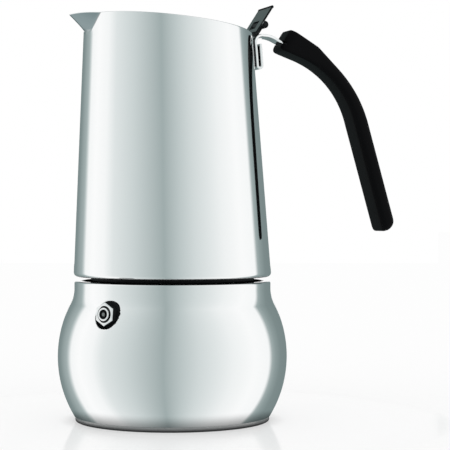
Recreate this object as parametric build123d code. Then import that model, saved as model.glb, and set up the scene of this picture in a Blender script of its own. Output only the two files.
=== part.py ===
from build123d import *
import math
import os

os.makedirs("parts", exist_ok=True)

# A stove-top moka pot. Millimetres, +Z up, origin at the centre of the underside.
# The handle points along +X and the spout along -X.

# Sheet metal and running gaps
wall = 0.9
strip = 1.2
gap = 0.4
pin_fit = 0.05
press_fit = 0.02

# Boiler
base_thick = 2.4
base_bevel = 0.6
base_step = 0.5
belly_radius = 52.9
flare_curve = 15.0
boiler_radius = 45.3
boiler_top = 64.0
boiler_round = 2.0
upper_wall = 3.1
neck_radius = 35.6
neck_wall = 1.2
neck_height = 10.0

# Safety valve
valve_turn = 215.0
valve_tilt = 4.0
valve_drop = 16.2
valve_sink = 2.25
washer_radius = 6.4
washer_thick = 0.8
hex_across = 9.0
hex_thick = 3.6
shank_radius = 3.5
shank_reach = 6.6
bush_radius = 4.6
bush_thick = 3.4
chamber_radius = 2.3
port_radius = 1.1
cap_radius = 3.5
cap_thick = 1.4
cap_hole = 1.2
plunger_head = 2.0
plunger_pin = 0.8
plunger_head_thick = 1.2
plunger_sink = 0.2
cap_bevel = 0.4
chamber_floor = 2.0
hex_bevel = 0.5
spring_wire = 0.4
spring_turns = 4

# Funnel
cup_gap = 0.8
cup_depth = 20.0
cone_depth = 7.0
flange_thick = 0.8
flange_back = 0.3
stem_radius = 5.6
stem_gap = 5.7
socket_depth = 6.0
sieve_thick = 0.8
ledge = 1.6

# Seal between funnel and jug
gasket_width = 8.6
gasket_thick = 3.0
plate_lap = 3.8
plate_thick = 0.7
hole_radius = 1.0
hole_pitch = 7.0
hole_rings = 2

# Jug
jug_seam = 2.6
jug_step = 0.4
jug_height = 114.4
rim_radius = 38.9
jug_lean = 2.5
jug_round = 2.0
bottom_lip = 3.6
rim_slope = 0.095
collar_wall = 1.7
column_radius = 6.5
column_top_radius = 5.4
column_bore = 4.2
column_height = 64.3
column_foot = 10.0
outlet_width = 4.0
outlet_height = 5.0
column_cap_radius = 6.6
column_cap_height = 5.0
column_cap_edge = 1.6

# Spout
spout_reach = 8.6
spout_depth = 13.4
spout_lip_angle = 24.0
spout_foot_angle = 7.0
spout_sink = 0.3
spout_round = 3.0
spout_shares = (0.0, 0.4, 0.8, 1.15)

# Lid and its hinge
lid_drop = 0.3
lid_skirt = 3.0
lid_edge = 0.5
lid_margin = 14.2
lid_panel_rise = 1.2
hinge_out = 6.2
hinge_rise = 6.46
hinge_offset = 1.5
knuckle_radius = 1.75
pin_radius = 0.8
tab_width = 17.0
tab_angle = 57.0
tab_up = 9.1
tab_down = 5.6
tab_thick = 1.0
tab_bend = 2.0
tab_bead = 0.75
pin_head = 0.4
tab_inset = 3.9
tab_foot = 9.0
slot_width = 7.6
slot_length = 6.4

# Bracket, strap and handle
pad_thick = 0.6
bracket_drop = 1.54
bracket_height = 12.0
strap_drop = 2.94
strap_leg = 11.8
fold_gap = 1.1
lug_thick = 0.8
lug_offset = 0.9
lug_reach = 10.5
arch_radius = 4.2
arch_rise = 1.66
crest_radius = 12.0
strap_angle = -26.0
strap_out = 18.0
strap_dip = 1.64
tongue_length = 14.0
tongue_width = 9.0
grip_width = 15.0
grip_edge = 3.0
grip_out = 21.6
grip_rise = 5.16
grip_block = 16.1
grip_block_angle = -29.7
grip_shoulder = 30.1
grip_shoulder_angle = -43.0
grip_low = 68.3
grip_low_angle = -73.6
grip_thick = 7.3
jaw_height = 11.3
jaw_angle = 238.0
jaw_low_angle = -20.0
jaw_round = 3.3
kink_round = 6.0
shoulder_round = 58.0
elbow_round = 44.0
mouth_depth = 3.0
mouth_height = 3.2

# Sizes that follow from the ones above
shell_floor = base_thick
flare_x = boiler_radius + flare_curve
flare_z = boiler_top - upper_wall
flare_reach = math.sqrt((belly_radius + flare_curve) ** 2 - flare_x**2)
belly_height = flare_z - flare_reach
base_radius = math.sqrt(belly_radius**2 - (belly_height - shell_floor) ** 2) - base_step
neck_top = boiler_top + neck_height
neck_bore = neck_radius - neck_wall
flange_radius = neck_radius - flange_back
flange_top = neck_top + flange_thick
cup_radius = neck_bore - cup_gap
stem_bottom = shell_floor + wall + stem_gap
floor_under = flange_top + gasket_thick
floor_top = floor_under + wall
collar_inner = neck_radius + gap
collar_outer = collar_inner + collar_wall
collar_bottom = boiler_top + gap
gasket_radius = collar_inner - gap
gasket_inner = gasket_radius - gasket_width
plate_radius = gasket_inner + plate_lap
jug_bottom = boiler_top + jug_seam
jug_radius = boiler_radius + jug_step
jug_taper = (jug_radius - rim_radius) / jug_height
jug_shift = jug_lean / jug_height
jug_tilt = math.degrees(math.atan(jug_shift))
rim_mid = jug_bottom + jug_height
rim_tilt = math.degrees(math.atan(rim_slope))
column_top = floor_top + column_height
valve_height = boiler_top - valve_drop
valve_rise = valve_height - belly_height
valve_across = valve_rise * math.cos(math.radians(valve_tilt))
valve_along = valve_rise * math.sin(math.radians(valve_tilt))
valve_seat = math.sqrt(belly_radius**2 - valve_across**2) - valve_along - valve_sink
pocket_radius = washer_radius + gap
hex_face = valve_seat + washer_thick + hex_thick
shank_end = valve_seat - shank_reach
chamber_end = shank_end + chamber_floor
spring_seat = chamber_end + plunger_head_thick
lid_radius = rim_radius - wall - 2 * gap
lid_panel = lid_radius - lid_margin
back_x = rim_radius - jug_lean
back_z = rim_mid - rim_slope * back_x
hinge_x = back_x + hinge_out
hinge_z = back_z + hinge_rise
bracket_high = back_z - bracket_drop
bracket_low = bracket_high - bracket_height
strap_high = back_z - strap_drop
strap_low = strap_high - strap_leg
arch_top = back_z + arch_rise
strap_entry_x = back_x + strap_out
strap_entry_z = back_z - strap_dip
grip_top_x = back_x + grip_out
grip_top_z = back_z + grip_rise


def turned(outline):
    """Solid of revolution about Z from an outline in radius and height."""
    return revolve(Plane.XZ * make_face(outline), Axis.Z)


def ring(outer, inner, low, high):
    """Plain ring or, with no inner radius, plain disc about Z."""
    body = Pos(0, 0, low) * extrude(Circle(outer), high - low)
    if inner > 0:
        body -= Pos(0, 0, low) * extrude(Circle(inner), high - low)
    return body


def on_circle(x, z, radius, degrees):
    angle = math.radians(degrees)
    return (x + radius * math.cos(angle), z + radius * math.sin(angle))


def hole_places():
    """Centres of a round pattern of holes in rings about a centre hole."""
    places = [(0, 0)]
    for row in range(1, hole_rings + 1):
        for step in range(6 * row):
            places.append(on_circle(0, 0, row * hole_pitch, step * 60 / row))
    return places


def perforated(disc, low, thick):
    for x, y in hole_places():
        disc -= Pos(x, y, low) * extrude(Circle(hole_radius), thick)
    return disc


def strip_along(path, thick, width):
    """Sheet strip that follows a path in the XZ plane, centred on Y."""
    face = trace(path, thick)
    return extrude(Plane.XZ * face, width / 2, both=True)


# Boiler

def boiler_form(inset, floor, top):
    """Round belly, hollow flare and upper wall, all drawn in by the inset."""
    belly = belly_radius - inset
    lean = math.degrees(math.atan2(flare_reach, flare_x))
    low_angle = math.degrees(math.asin((floor - belly_height) / belly))
    foot = on_circle(0, belly_height, belly, low_angle)
    outline = Line((0, floor), foot)
    outline += CenterArc((0, belly_height), belly, low_angle, lean - low_angle)
    outline += CenterArc((flare_x, flare_z), flare_curve + inset, 180 + lean, -lean)
    edge = boiler_radius - inset
    outline += Polyline((edge, flare_z), (edge, top), (0, top), (0, floor))
    return turned(outline)


def valve_frame():
    """Frame on the pot's axis whose Z runs out along the valve."""
    turn = math.radians(valve_turn)
    tilt = math.radians(valve_tilt)
    out = (math.cos(turn) * math.cos(tilt), math.sin(turn) * math.cos(tilt), math.sin(tilt))
    side = (-math.sin(turn), math.cos(turn), 0)
    return Plane(origin=(0, 0, valve_height), x_dir=side, z_dir=out)


def boiler_shell():
    outside = boiler_form(0, shell_floor, boiler_top)
    outside = fillet(outside.edges().group_by(Axis.Z)[-1], boiler_round)
    shell = outside - boiler_form(wall, shell_floor + wall, boiler_top - wall)
    shell += ring(neck_radius, 0, boiler_top - wall, neck_top)
    shell -= ring(neck_bore, 0, boiler_top - wall, neck_top)
    reach = belly_radius - valve_seat
    pocket = valve_frame() * ring(pocket_radius + wall, 0, valve_seat - wall, valve_seat + reach)
    shell += pocket & outside
    shell -= valve_frame() * ring(pocket_radius, 0, valve_seat, valve_seat + reach)
    shell -= valve_frame() * ring(shank_radius + pin_fit, 0, valve_seat - wall, valve_seat)
    return shell


def base_disc():
    disc = ring(base_radius, 0, 0, base_thick)
    return chamfer(disc.edges().group_by(Axis.Z)[0], base_bevel)


# Safety valve, in its own frame

def valve_bush():
    top = valve_seat - wall
    return valve_frame() * ring(bush_radius, shank_radius + pin_fit, top - bush_thick, top)


def valve_washer():
    top = valve_seat + washer_thick
    return valve_frame() * ring(washer_radius, shank_radius + pin_fit, valve_seat, top)


def valve_body():
    low = valve_seat + washer_thick
    hexagon = RegularPolygon(hex_across / 2, 6, major_radius=False, rotation=30)
    head = Pos(0, 0, low) * extrude(hexagon, hex_thick)
    corner = hex_across / math.sqrt(3)
    bevel = ring(corner, 0, low, hex_face)
    bevel = chamfer(bevel.edges().group_by(Axis.Z)[-1], hex_bevel)
    body = (head & bevel) + ring(shank_radius, 0, shank_end, low)
    body -= ring(chamber_radius, 0, chamber_end, hex_face)
    body -= ring(port_radius, 0, shank_end, chamber_end)
    body -= ring(cap_radius, 0, hex_face - cap_thick / 2, hex_face)
    return valve_frame() * body


def valve_cap():
    low = hex_face - cap_thick / 2
    cap = ring(cap_radius - press_fit, cap_hole, low, low + cap_thick)
    outer_edge = cap.edges().group_by(Axis.Z)[-1].sort_by(SortBy.RADIUS)[-1]
    return valve_frame() * chamfer(outer_edge, cap_bevel)


def valve_plunger():
    head = ring(plunger_head, 0, chamber_end, spring_seat)
    pin_end = hex_face + cap_thick / 2 - plunger_sink
    return valve_frame() * (head + ring(plunger_pin, 0, spring_seat, pin_end))


def valve_spring():
    low = spring_seat + spring_wire / 2
    high = hex_face - cap_thick / 2 - spring_wire / 2
    radius = (plunger_pin + chamber_radius) / 2
    coil = Helix(pitch=(high - low) / spring_turns, height=high - low, radius=radius)
    section = Plane(coil @ 0, z_dir=coil % 0) * RegularPolygon(spring_wire / 2, 6)
    wire = sweep(section, path=coil)
    return valve_frame() * (Pos(0, 0, low) * wire)


# Funnel

def funnel_cup():
    cup_floor = neck_top - cup_depth
    cone_low = cup_floor - cone_depth
    socket_low = cone_low - socket_depth
    bore = stem_radius + press_fit
    outline = Polyline(
        (cup_radius, flange_top),
        (flange_radius, flange_top),
        (flange_radius, neck_top),
        (cup_radius, neck_top),
        (cup_radius, cup_floor),
        (bore + wall, cone_low),
        (bore + wall, socket_low),
        (bore, socket_low),
        (bore, cone_low + wall),
        (cup_radius - wall - ledge, cup_floor),
        (cup_radius - wall, cup_floor),
        (cup_radius - wall, flange_top),
        (cup_radius, flange_top),
    )
    return turned(outline)


def funnel_sieve():
    low = neck_top - cup_depth
    disc = ring(cup_radius - wall - press_fit, 0, low, low + sieve_thick)
    return perforated(disc, low, sieve_thick)


def funnel_stem():
    top = neck_top - cup_depth - cone_depth
    return ring(stem_radius, stem_radius - wall, stem_bottom, top)


# Seal

def gasket():
    body = ring(gasket_radius, gasket_inner, flange_top, floor_under)
    return body - ring(plate_radius + press_fit, 0, floor_under - plate_thick, floor_under)


def filter_plate():
    low = floor_under - plate_thick
    return perforated(ring(plate_radius, 0, low, floor_under), low, plate_thick)


# Jug

def jug_radius_at(z):
    return jug_radius - jug_taper * (z - jug_bottom)


def jug_middle_at(z):
    return -jug_shift * (z - jug_bottom)


def leaning_cone(inset, low):
    """Cone of the jug wall, drawn in by the inset, from a height up past the rim."""
    spare = jug_height / 8
    foot = jug_radius + jug_taper * spare - inset
    tip = rim_radius - jug_taper * spare - inset
    cone = Cone(foot, tip, jug_height + 2 * spare, align=(Align.CENTER, Align.CENTER, Align.MIN))
    cone = Pos(0, 0, jug_bottom) * Rot(0, -jug_tilt, 0) * Pos(0, 0, -spare) * cone
    keep = Box(4 * jug_radius, 4 * jug_radius, 2 * jug_height, align=(Align.CENTER, Align.CENTER, Align.MIN))
    return cone & Pos(0, 0, low) * keep


def rim_height(x):
    return rim_mid - rim_slope * x


def spout_section(share, inset):
    """Rounded V across the spout at a share of its height, with its ends sunk in the jug wall."""
    z = rim_height(jug_middle_at(rim_mid) - rim_radius) - spout_depth * (1 - share)
    spread = math.radians(spout_foot_angle + (spout_lip_angle - spout_foot_angle) * share)
    middle = jug_middle_at(z)
    sunk = jug_radius_at(z) - inset - spout_sink
    back = middle - sunk * math.cos(spread)
    width = sunk * math.sin(spread)
    tip = middle - sunk - (spout_reach + spout_sink) * share**2
    flank = math.atan2(width, back - tip)
    tip -= spout_round * (1 / math.sin(flank) - 1)
    vee = make_face(Polyline((back, width), (tip, 0), (back, -width), (back, width)))
    return Pos(0, 0, z) * fillet(vee.vertices().sort_by(Axis.X)[0], spout_round)


def spout_form(inset):
    """Pouring lip that fades into the wall below and flares out to the rim."""
    return loft([spout_section(share, inset) for share in spout_shares])


def above_rim():
    """Block over the slanted rim plane."""
    block = Box(4 * jug_radius, 4 * jug_radius, jug_radius, align=(Align.CENTER, Align.CENTER, Align.MIN))
    return Pos(0, 0, rim_mid) * Rot(0, rim_tilt, 0) * block


def jug_shell():
    outside = leaning_cone(0, jug_bottom)
    outside = fillet(outside.edges().group_by(Axis.Z)[0], jug_round)
    shell = outside + spout_form(0) - leaning_cone(wall, jug_bottom + wall) - spout_form(wall)
    shell -= ring(jug_radius - bottom_lip, 0, jug_bottom - wall, jug_bottom + 2 * wall)
    return shell - above_rim()


def jug_floor():
    lip_top = jug_bottom + wall
    outline = Polyline(
        (column_bore + wall, floor_under),
        (collar_outer, floor_under),
        (collar_outer, lip_top),
        (jug_radius - jug_round - wall, lip_top),
        (jug_radius - jug_round - wall, lip_top + wall),
        (collar_outer + wall, lip_top + wall),
        (collar_outer + wall, floor_top),
        (column_bore + wall, floor_top),
        (column_bore + wall, floor_under),
    )
    return turned(outline)


def threaded_collar():
    return ring(collar_outer, collar_inner, collar_bottom, floor_under)


def coffee_column():
    outline = Polyline(
        (column_bore, floor_under),
        (column_bore + wall, floor_under),
        (column_bore + wall, floor_top),
        (column_foot, floor_top),
        (column_foot, floor_top + wall),
        (column_radius, floor_top + 3 * wall),
        (column_top_radius, column_top),
        (column_bore, column_top),
        (column_bore, floor_under),
    )
    column = turned(outline)
    slot = Box(outlet_width, 4 * column_radius, outlet_height, align=(Align.CENTER, Align.CENTER, Align.MAX))
    return column - Pos(0, 0, column_top) * slot


def column_cap():
    edge = column_top + column_cap_edge
    top = column_top + column_cap_height
    crown = top - edge
    curve = (column_cap_radius**2 + crown**2) / (2 * crown)
    sweep_angle = math.degrees(math.asin(column_cap_radius / curve))
    outline = Polyline((0, top), (0, column_top), (column_cap_radius, column_top), (column_cap_radius, edge))
    outline += CenterArc((0, top - curve), curve, 90 - sweep_angle, sweep_angle)
    return turned(outline)


# Lid and hinge

def lid_frame():
    """Frame of the lid: its middle in the rim plane, its Z square to that plane."""
    middle = jug_middle_at(rim_mid)
    return Plane(origin=(middle, 0, rim_height(middle)), x_dir=(1, 0, -rim_slope), z_dir=(rim_slope, 0, 1))


def lid_disc():
    top = -lid_drop
    outline = Polyline(
        (0, top + lid_panel_rise - wall),
        (lid_panel - wall, top + lid_panel_rise - wall),
        (lid_panel, top - wall),
        (lid_radius - wall, top - wall),
        (lid_radius - wall, top - lid_skirt),
        (lid_radius, top - lid_skirt),
        (lid_radius, top - lid_edge),
        (lid_radius - lid_edge, top),
        (lid_panel + wall, top),
        (lid_panel, top + lid_panel_rise),
        (0, top + lid_panel_rise),
        (0, top + lid_panel_rise - wall),
    )
    return lid_frame() * turned(outline)


def cross_rod(spot, radius, width):
    """Round rod along Y, centred on a point of the XZ plane."""
    rod = extrude(Circle(radius), width / 2, both=True)
    return Pos(spot[0], 0, spot[1]) * Rot(90, 0, 0) * rod


def hinge_rod(radius, width):
    return cross_rod((hinge_x, hinge_z), radius, width)


def tab_point(along, off):
    """Point beside the hinge axis, along the tab and square to it."""
    angle = math.radians(tab_angle)
    x = hinge_x + along * math.cos(angle) - off * math.sin(angle)
    z = hinge_z + along * math.sin(angle) + off * math.cos(angle)
    return (x, z)


def lid_spot(along, up):
    """Point of the XZ plane at a distance along the lid's middle and above its rim plane."""
    spot = lid_frame().from_local_coords(Vector(along, 0, up))
    return (spot.X, spot.Z)


def lid_tab():
    level = tab_thick / 2 - lid_drop
    toe = lid_spot(lid_radius - tab_inset - tab_foot, level)
    heel = lid_spot(lid_radius - tab_inset, level)
    bend = tab_point(-tab_down, hinge_offset)
    tip = tab_point(tab_up, hinge_offset)
    tab = strip_along(FilletPolyline(toe, heel, bend, tip, radius=tab_bend), tab_thick, tab_width)
    tab += cross_rod(tip, tab_bead, tab_width)
    tab += hinge_rod(knuckle_radius, tab_width) - hinge_rod(2 * knuckle_radius, slot_width)
    middle = tab_point(0, hinge_offset)
    slot = Box(slot_length, slot_width, 3 * tab_thick)
    tab -= Pos(middle[0], 0, middle[1]) * Rot(0, -tab_angle, 0) * slot
    return tab - hinge_rod(pin_radius + pin_fit, 2 * tab_width)


def hinge_pin():
    return hinge_rod(pin_radius, tab_width + 2 * pin_head)


# Bracket, strap and handle

def wall_spot(z, off):
    """Point of the XZ plane at a height on the jug's handle side, a distance off the wall."""
    lean = math.atan(jug_taper + jug_shift)
    x = jug_middle_at(z) + jug_radius_at(z) + off * math.cos(lean)
    return (x, z + off * math.sin(lean))


def lug_strip(thick, width):
    """Strip that runs from the hinge down to the jug wall, behind the tab."""
    return strip_along(Line(tab_point(0, -lug_offset), tab_point(-lug_reach, -lug_offset)), thick, width)


def hinge_bracket():
    low = wall_spot(bracket_low, pad_thick)
    high = wall_spot(bracket_high, pad_thick)
    root = low[0] - rim_radius / 2
    side = make_face(Polyline(low, high, (root, high[1]), (root, low[1]), low))
    pad = extrude(Plane.XZ * side, tab_width / 2, both=True)
    lug_width = slot_width - 2 * gap
    bracket = pad + lug_strip(lug_thick, lug_width) + hinge_rod(knuckle_radius, lug_width)
    bracket -= leaning_cone(0, jug_bottom)
    return bracket - hinge_rod(pin_radius + press_fit, 2 * tab_width)


def strap_path():
    """Down the outer leg, round the fold, up the wall, over the arch and straight into the handle."""
    near = pad_thick + strip / 2
    far = near + strip + fold_gap
    start = wall_spot(strap_high, far)
    low_far = wall_spot(strap_low + strip / 2, far)
    low_near = wall_spot(strap_low + strip / 2, near)
    leg_x = low_near[0] - (jug_taper + jug_shift) * (arch_top - low_near[1])
    slope = math.tan(math.radians(strap_angle))
    crest_x = strap_entry_x + (arch_top - strap_entry_z) / slope
    tip = on_circle(strap_entry_x, strap_entry_z, tongue_length, strap_angle)
    fold = (strip + fold_gap) / 2 - press_fit
    return FilletPolyline(start, low_far, low_near, (leg_x, arch_top), (crest_x, arch_top), tip,
                          radius=[fold, fold, arch_radius, crest_radius])


def strap_entry():
    """Place where the strap enters the handle, with X along the strap."""
    return Pos(strap_entry_x, 0, strap_entry_z) * Rot(0, -strap_angle, 0)


def handle_strap():
    strap = strip_along(strap_path(), strip, tab_width)
    strap -= lug_strip(lug_thick + 2 * gap, slot_width)
    shoulder = (tab_width - tongue_width) / 2
    trim = Box(2 * tongue_length, shoulder, tab_width, align=(Align.MIN, Align.CENTER, Align.CENTER))
    for side in (-1, 1):
        strap -= strap_entry() * Pos(mouth_depth - gap, side * (tongue_width + shoulder) / 2, 0) * trim
    return strap


def meeting(first, first_angle, second, second_angle):
    """Point where two lines of the XZ plane meet, each given by a point and its angle."""
    rise = math.tan(math.radians(first_angle))
    fall = math.tan(math.radians(second_angle))
    x = (second[1] - first[1] + rise * first[0] - fall * second[0]) / (rise - fall)
    return (x, first[1] + rise * (x - first[0]))


def handle():
    top = (grip_top_x, grip_top_z)
    kink = on_circle(*top, grip_block, grip_block_angle)
    bend = on_circle(*kink, grip_shoulder, grip_shoulder_angle)
    end = on_circle(*bend, grip_low, grip_low_angle)
    heel = on_circle(*end, grip_thick, grip_low_angle - 90)
    jaw = on_circle(*top, jaw_height, jaw_angle)
    elbow = meeting(jaw, jaw_low_angle, heel, grip_low_angle)
    end_round = grip_thick / 2 - press_fit
    rounds = [jaw_round, kink_round, shoulder_round, end_round, end_round, elbow_round, jaw_round]
    side = make_face(FilletPolyline(top, kink, bend, end, heel, elbow, jaw, radius=rounds, close=True))
    grip = extrude(Plane.XZ * side, grip_width / 2, both=True)
    rims = grip.faces().filter_by(Axis.Y).edges()
    grip = fillet(rims, grip_edge)
    slot_high = strip + 2 * pin_fit
    slot = Box(tongue_length + pin_fit, tongue_width + 2 * pin_fit, slot_high,
               align=(Align.MIN, Align.CENTER, Align.CENTER))
    mouth = Polyline(
        (-mouth_depth, mouth_height / 2),
        (mouth_depth, slot_high / 2),
        (mouth_depth, -slot_high / 2),
        (-mouth_depth, -mouth_height / 2),
        (-mouth_depth, mouth_height / 2),
    )
    notch = extrude(Plane.XZ * make_face(mouth), grip_width, both=True)
    return grip - strap_entry() * slot - strap_entry() * notch


nodes = {
    "boiler_shell": boiler_shell,
    "base_disc": base_disc,
    "valve_bush": valve_bush,
    "valve_washer": valve_washer,
    "valve_body": valve_body,
    "valve_cap": valve_cap,
    "valve_plunger": valve_plunger,
    "valve_spring": valve_spring,
    "funnel_cup": funnel_cup,
    "funnel_sieve": funnel_sieve,
    "funnel_stem": funnel_stem,
    "gasket": gasket,
    "filter_plate": filter_plate,
    "jug_shell": jug_shell,
    "jug_floor": jug_floor,
    "threaded_collar": threaded_collar,
    "coffee_column": coffee_column,
    "column_cap": column_cap,
    "hinge_bracket": hinge_bracket,
    "handle_strap": handle_strap,
    "handle": handle,
    "hinge_pin": hinge_pin,
    "lid_disc": lid_disc,
    "lid_tab": lid_tab,
}

for name, make in nodes.items():
    export_step(make(), "parts/" + name + ".step")
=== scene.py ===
import bpy
import bmesh
import math
import numpy as np
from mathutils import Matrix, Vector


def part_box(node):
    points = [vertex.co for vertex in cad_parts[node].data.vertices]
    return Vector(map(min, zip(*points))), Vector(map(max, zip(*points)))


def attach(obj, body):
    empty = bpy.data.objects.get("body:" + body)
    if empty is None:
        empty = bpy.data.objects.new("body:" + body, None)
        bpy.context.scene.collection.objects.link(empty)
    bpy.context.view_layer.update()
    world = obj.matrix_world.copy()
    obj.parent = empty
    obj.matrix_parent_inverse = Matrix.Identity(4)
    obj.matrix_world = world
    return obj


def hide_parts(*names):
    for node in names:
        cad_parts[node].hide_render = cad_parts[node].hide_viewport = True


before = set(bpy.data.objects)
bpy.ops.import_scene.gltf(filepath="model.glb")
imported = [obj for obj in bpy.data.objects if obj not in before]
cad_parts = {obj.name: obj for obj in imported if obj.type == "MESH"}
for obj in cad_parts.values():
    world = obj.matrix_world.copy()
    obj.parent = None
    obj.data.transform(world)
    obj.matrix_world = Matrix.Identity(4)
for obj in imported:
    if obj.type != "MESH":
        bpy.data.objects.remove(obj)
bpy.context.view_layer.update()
mm = 0.001  # the shapes below are in millimetres
fullTurn = 2 * np.pi
print("frame loaded:", len(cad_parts), "nodes")


# where a CAD node lies, in millimetres
def span(node):
    low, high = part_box(node)
    return np.array(low) / mm, np.array(high) / mm


# shape tools

mergeWithin = 0.002  # points nearer than this become one
thinnest = 0.05  # half of the least thickness of a swept piece
endRows = 8  # sections in the rounding at each end of a swept piece
cornerRows = 9  # points in each corner of its section
edgeLimit = 0.98  # the corner's largest radius, as a share of half the thickness or width


# an arc: the centre plus the radius times cosine and sine of a turning angle
def arc(x, z, radius, start, end, count):
    a = np.radians(np.linspace(start, end, count))
    return np.column_stack((x + radius * np.cos(a), z + radius * np.sin(a)))


# a straight run of points from one place to another
def run(start, end, count):
    return np.linspace(start, end, count)


# a smooth step: 0 below the first value, 1 above the second, 3t2 - 2t3 between
def ease(low, high, value):
    t = np.clip((value - low) / (high - low), 0, 1)
    return t * t * (3 - 2 * t)


# rows of a table from its columns, each a list or one value for every row
def table(*columns):
    return np.column_stack(np.broadcast_arrays(*columns))


# a polyline with its corners swapped for arcs that touch both sides: an open line keeps its two ends
def softCorners(corners, radii, count=7, closed=True):
    p = np.asarray(corners, float)
    bends = slice(None) if closed else slice(1, -1)
    toLast, toNext = ((np.roll(p, step, 0) - p)[bends] for step in (1, -1))
    a = toLast / np.linalg.norm(toLast, axis=1, keepdims=True)
    b = toNext / np.linalg.norm(toNext, axis=1, keepdims=True)
    half = np.arccos(np.clip((a * b).sum(1), -1, 1))[:, None] / 2
    r = np.broadcast_to(np.asarray(radii, float), (len(a),))[:, None]
    cut = r / np.tan(half)
    first, last = p[bends] + a * cut, p[bends] + b * cut
    middle = a + b
    centre = p[bends] + middle / np.linalg.norm(middle, axis=1, keepdims=True) * r / np.sin(half)
    t = np.linspace(0, 1, count)[None, :, None]
    turn = (np.pi - 2 * half)[:, None, :]
    fromFirst = np.sin((1 - t) * turn) * (first - centre)[:, None]
    fromLast = np.sin(t * turn) * (last - centre)[:, None]
    rounds = (centre[:, None] + (fromFirst + fromLast) / np.sin(turn)).reshape(-1, 2)
    return rounds if closed else np.vstack((p[:1], rounds, p[-1:]))


# how far along a line each of its points lies
def distances(line):
    return np.concatenate(([0], np.cumsum(np.linalg.norm(np.diff(line, axis=0), axis=1))))


# points of a line at shares of its length
def atShares(line, shares):
    far = distances(line)
    return np.column_stack([np.interp(shares * far[-1], far, column) for column in line.T])


# shares of a line, even in the middle and close together where its ends are rounded
def endShares(length, first, last, count):
    bend = 1 - np.cos(np.linspace(0, np.pi / 2, endRows))
    even = np.linspace(first, length - last, count)[1:-1]
    return np.concatenate((first * bend, even, length - last * bend[::-1])) / length


# how far a quarter circle lies in from its side, at a way from its end
def quarterPull(way, r):
    return r - np.sqrt(np.maximum(r ** 2 - np.maximum(r - way, 0) ** 2, 0))


# how much a side draws in near both ends of a line: a quarter circle of the given radius at each
def endPull(line, first, last):
    far = distances(line)
    return quarterPull(far, first) + quarterPull(far[-1] - far, last)


# directions square to a line of the side view
def squareTo(line):
    way = np.gradient(line, axis=0)
    way /= np.linalg.norm(way, axis=1, keepdims=True)
    return np.column_stack((-way[:, 1], way[:, 0]))


# quads between neighbouring rows and columns of a grid, wrapping round where asked
def gridFaces(rows, cols, wrapRows, wrapCols):
    rowStarts, colStarts = np.arange(rows - (not wrapRows)), np.arange(cols - (not wrapCols))
    r, c = np.meshgrid(rowStarts, colStarts, indexing="ij")
    rowOn, colOn = (r + 1) % rows, (c + 1) % cols
    quads = (r * cols + c, r * cols + colOn, rowOn * cols + colOn, rowOn * cols + c)
    return np.stack(quads, -1).reshape(-1, 4)


# smooth shading, with edges sharp past an angle
def smooth(mesh, sharp):
    mesh.shade_smooth()
    mesh.set_sharp_from_angle(angle=math.radians(sharp))


# a mesh object from points in millimetres: near points merged, faces outwards, marks kept at the points
def putMesh(name, points, faces, sharp=32, **marks):
    mesh = bpy.data.meshes.new(name)
    mesh.from_pydata((np.asarray(points).reshape(-1, 3) * mm).tolist(), [], faces.tolist())
    for mark, values in marks.items():
        held = mesh.attributes.new(mark, "FLOAT", "POINT")
        held.data.foreach_set("value", np.broadcast_to(values, np.shape(points)[:-1]).astype(float).ravel())
    work = bmesh.new()
    work.from_mesh(mesh)
    bmesh.ops.remove_doubles(work, verts=work.verts, dist=mergeWithin * mm)
    bmesh.ops.recalc_face_normals(work, faces=work.faces)
    work.to_mesh(mesh)
    work.free()
    smooth(mesh, sharp)
    piece = bpy.data.objects.new(name, mesh)
    bpy.context.collection.objects.link(piece)
    return piece


# several grids as one list of points and faces
def joinGrids(grids):
    points = [np.asarray(p).reshape(-1, 3) for p, f in grids]
    starts = np.cumsum([0] + [len(p) for p in points[:-1]])
    return np.vstack(points), np.vstack([f + start for (p, f), start in zip(grids, starts)])


# cuts a block out of a piece: the block is a flat outline in the side view, as wide as given
def carve(piece, outline, width, sharp):
    flat = np.asarray(outline, float)
    ends = np.stack([table(flat[:, 0], y, flat[:, 1]) for y in (-width / 2, width / 2)])
    caps = np.repeat(ends.mean(1, keepdims=True), len(flat), 1)
    grid = np.concatenate((caps[:1], ends, caps[1:]))
    cutter = putMesh("cutter", grid, gridFaces(len(grid), len(flat), False, True), 1)
    cut = piece.modifiers.new("cut", "BOOLEAN")
    cut.operation, cut.solver, cut.object = "DIFFERENCE", "EXACT", cutter
    cut.use_self = True
    made = bpy.data.meshes.new_from_object(piece.evaluated_get(bpy.context.evaluated_depsgraph_get()))
    piece.modifiers.clear()
    old, piece.data = piece.data, made
    bpy.data.meshes.remove(old)
    bpy.data.objects.remove(cutter)
    smooth(made, sharp)


# angles evenly round the circle
def evenTurns(count):
    return np.linspace(0, fullTurn, count, endpoint=False)


# angles round the circle, closer together about one direction, which is in degrees like its reach
def turnsNear(count, middle, reach, extra):
    even = evenTurns(count)
    dense = np.radians(np.linspace(middle - reach, middle + reach, extra)) % fullTurn
    off = np.abs((even - math.radians(middle) + np.pi) % fullTurn - np.pi)
    far = off > math.radians(reach) + np.pi / count
    return np.sort(np.concatenate((even[far], dense)))


# a turned grid: x = radius times cosine, y = radius times sine, z = height of the profile
def turnedGrid(profile, turns):
    r, z = profile[:, 0], profile[:, 1]
    x, y = np.cos(turns)[:, None] * r, np.sin(turns)[:, None] * r
    return np.stack((x, y, np.broadcast_to(z, x.shape)), -1)


# a frame to carry a shape to: its middle, and its three axes as columns
def seat(origin, zAxis, xAxis):
    z = np.asarray(zAxis, float) / np.linalg.norm(zAxis)
    x = np.asarray(xAxis, float) - np.dot(xAxis, z) * z
    x /= np.linalg.norm(x)
    return np.asarray(origin, float), np.column_stack((x, np.cross(z, x), z))


# a grid carried to a frame: each axis times its coordinate, plus the middle
def carry(grid, place):
    return grid @ place[1].T + place[0]


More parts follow.
